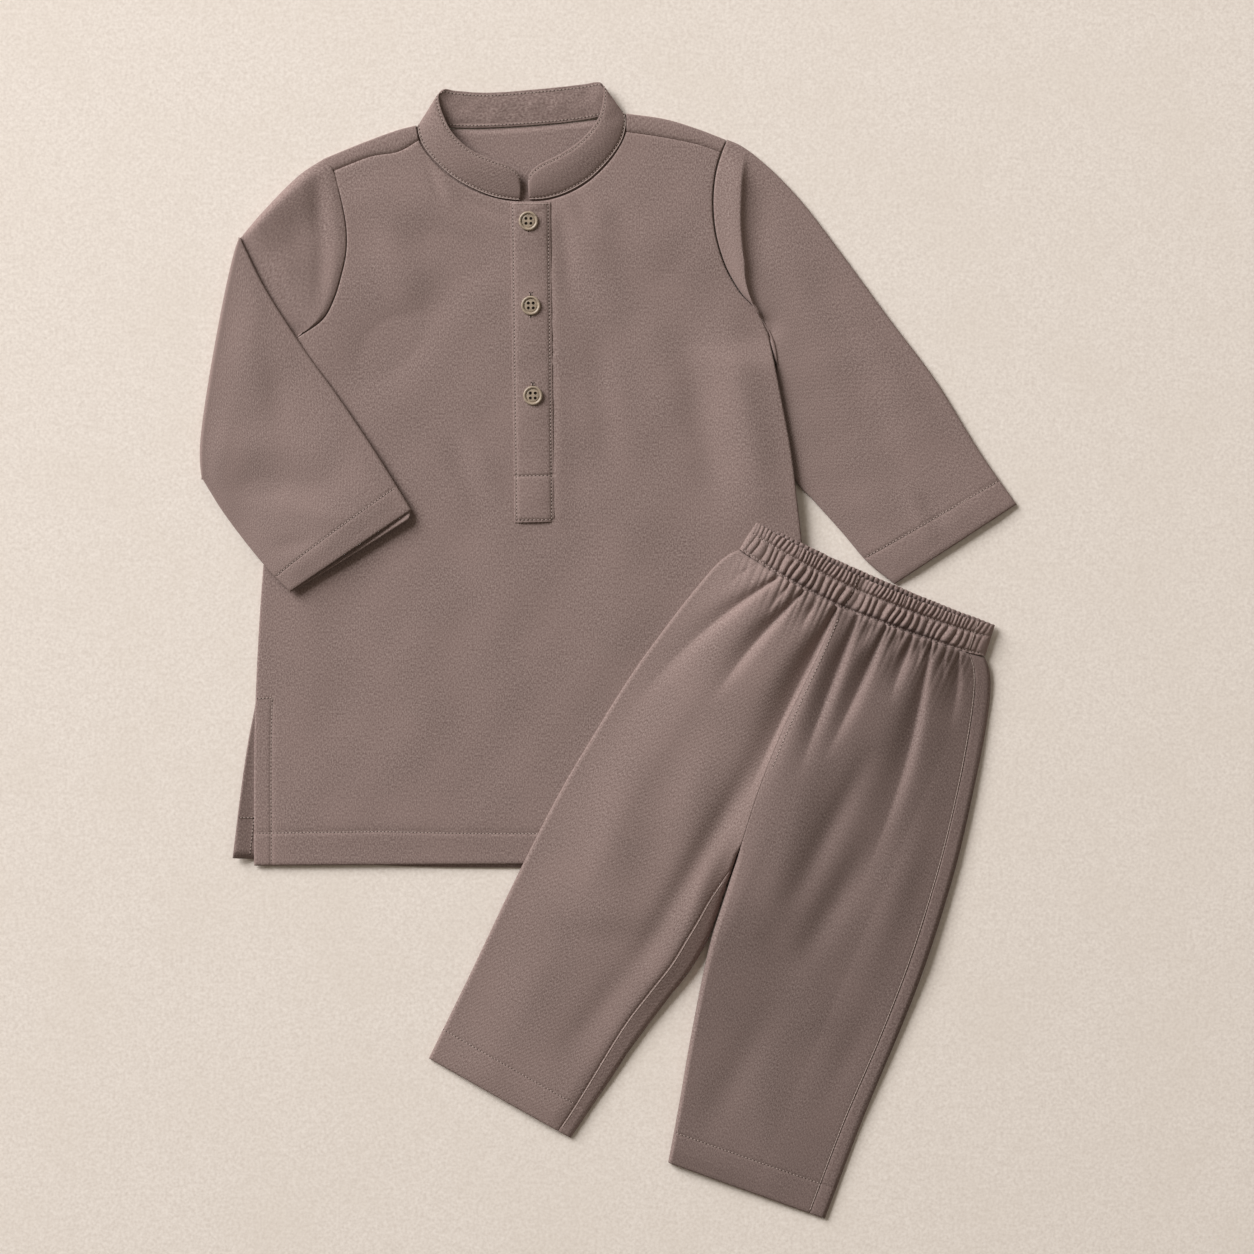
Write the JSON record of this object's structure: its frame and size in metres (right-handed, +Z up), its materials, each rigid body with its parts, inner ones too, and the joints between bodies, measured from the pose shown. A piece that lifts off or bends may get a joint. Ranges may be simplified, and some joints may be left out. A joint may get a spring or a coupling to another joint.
{
  "type": "baby shalwar kameez",
  "caption": "Baby tunic with a band collar and buttoned placket, one sleeve folded over its front, and elastic-waist trousers, laid flat one on the other",
  "frame": {"origin": "middle of the set, on the surface that it lies on", "axes": "+Z up from the surface, +Y towards the collar, +X to the right seen from above"},
  "size_m": [0.482, 0.6688, 0.0141],
  "materials": {
    "cotton_twill": "matt mauve-brown brushed cotton twill with a fine heathered grain",
    "button": "satin khaki four-hole shirt button"
  },
  "bodies": {
    "root": {"tunic_back": "cotton_twill", "tunic_front": "cotton_twill", "placket": "cotton_twill", "collar": "cotton_twill", "sleeve_left": "cotton_twill", "sleeve_right": "cotton_twill", "waistband": "cotton_twill", "leg_left_front": "cotton_twill", "leg_left_back": "cotton_twill", "leg_right_front": "cotton_twill", "leg_right_back": "cotton_twill", "button_top": "button", "button_middle": "button", "button_bottom": "button"}
  },
  "joints": []
}
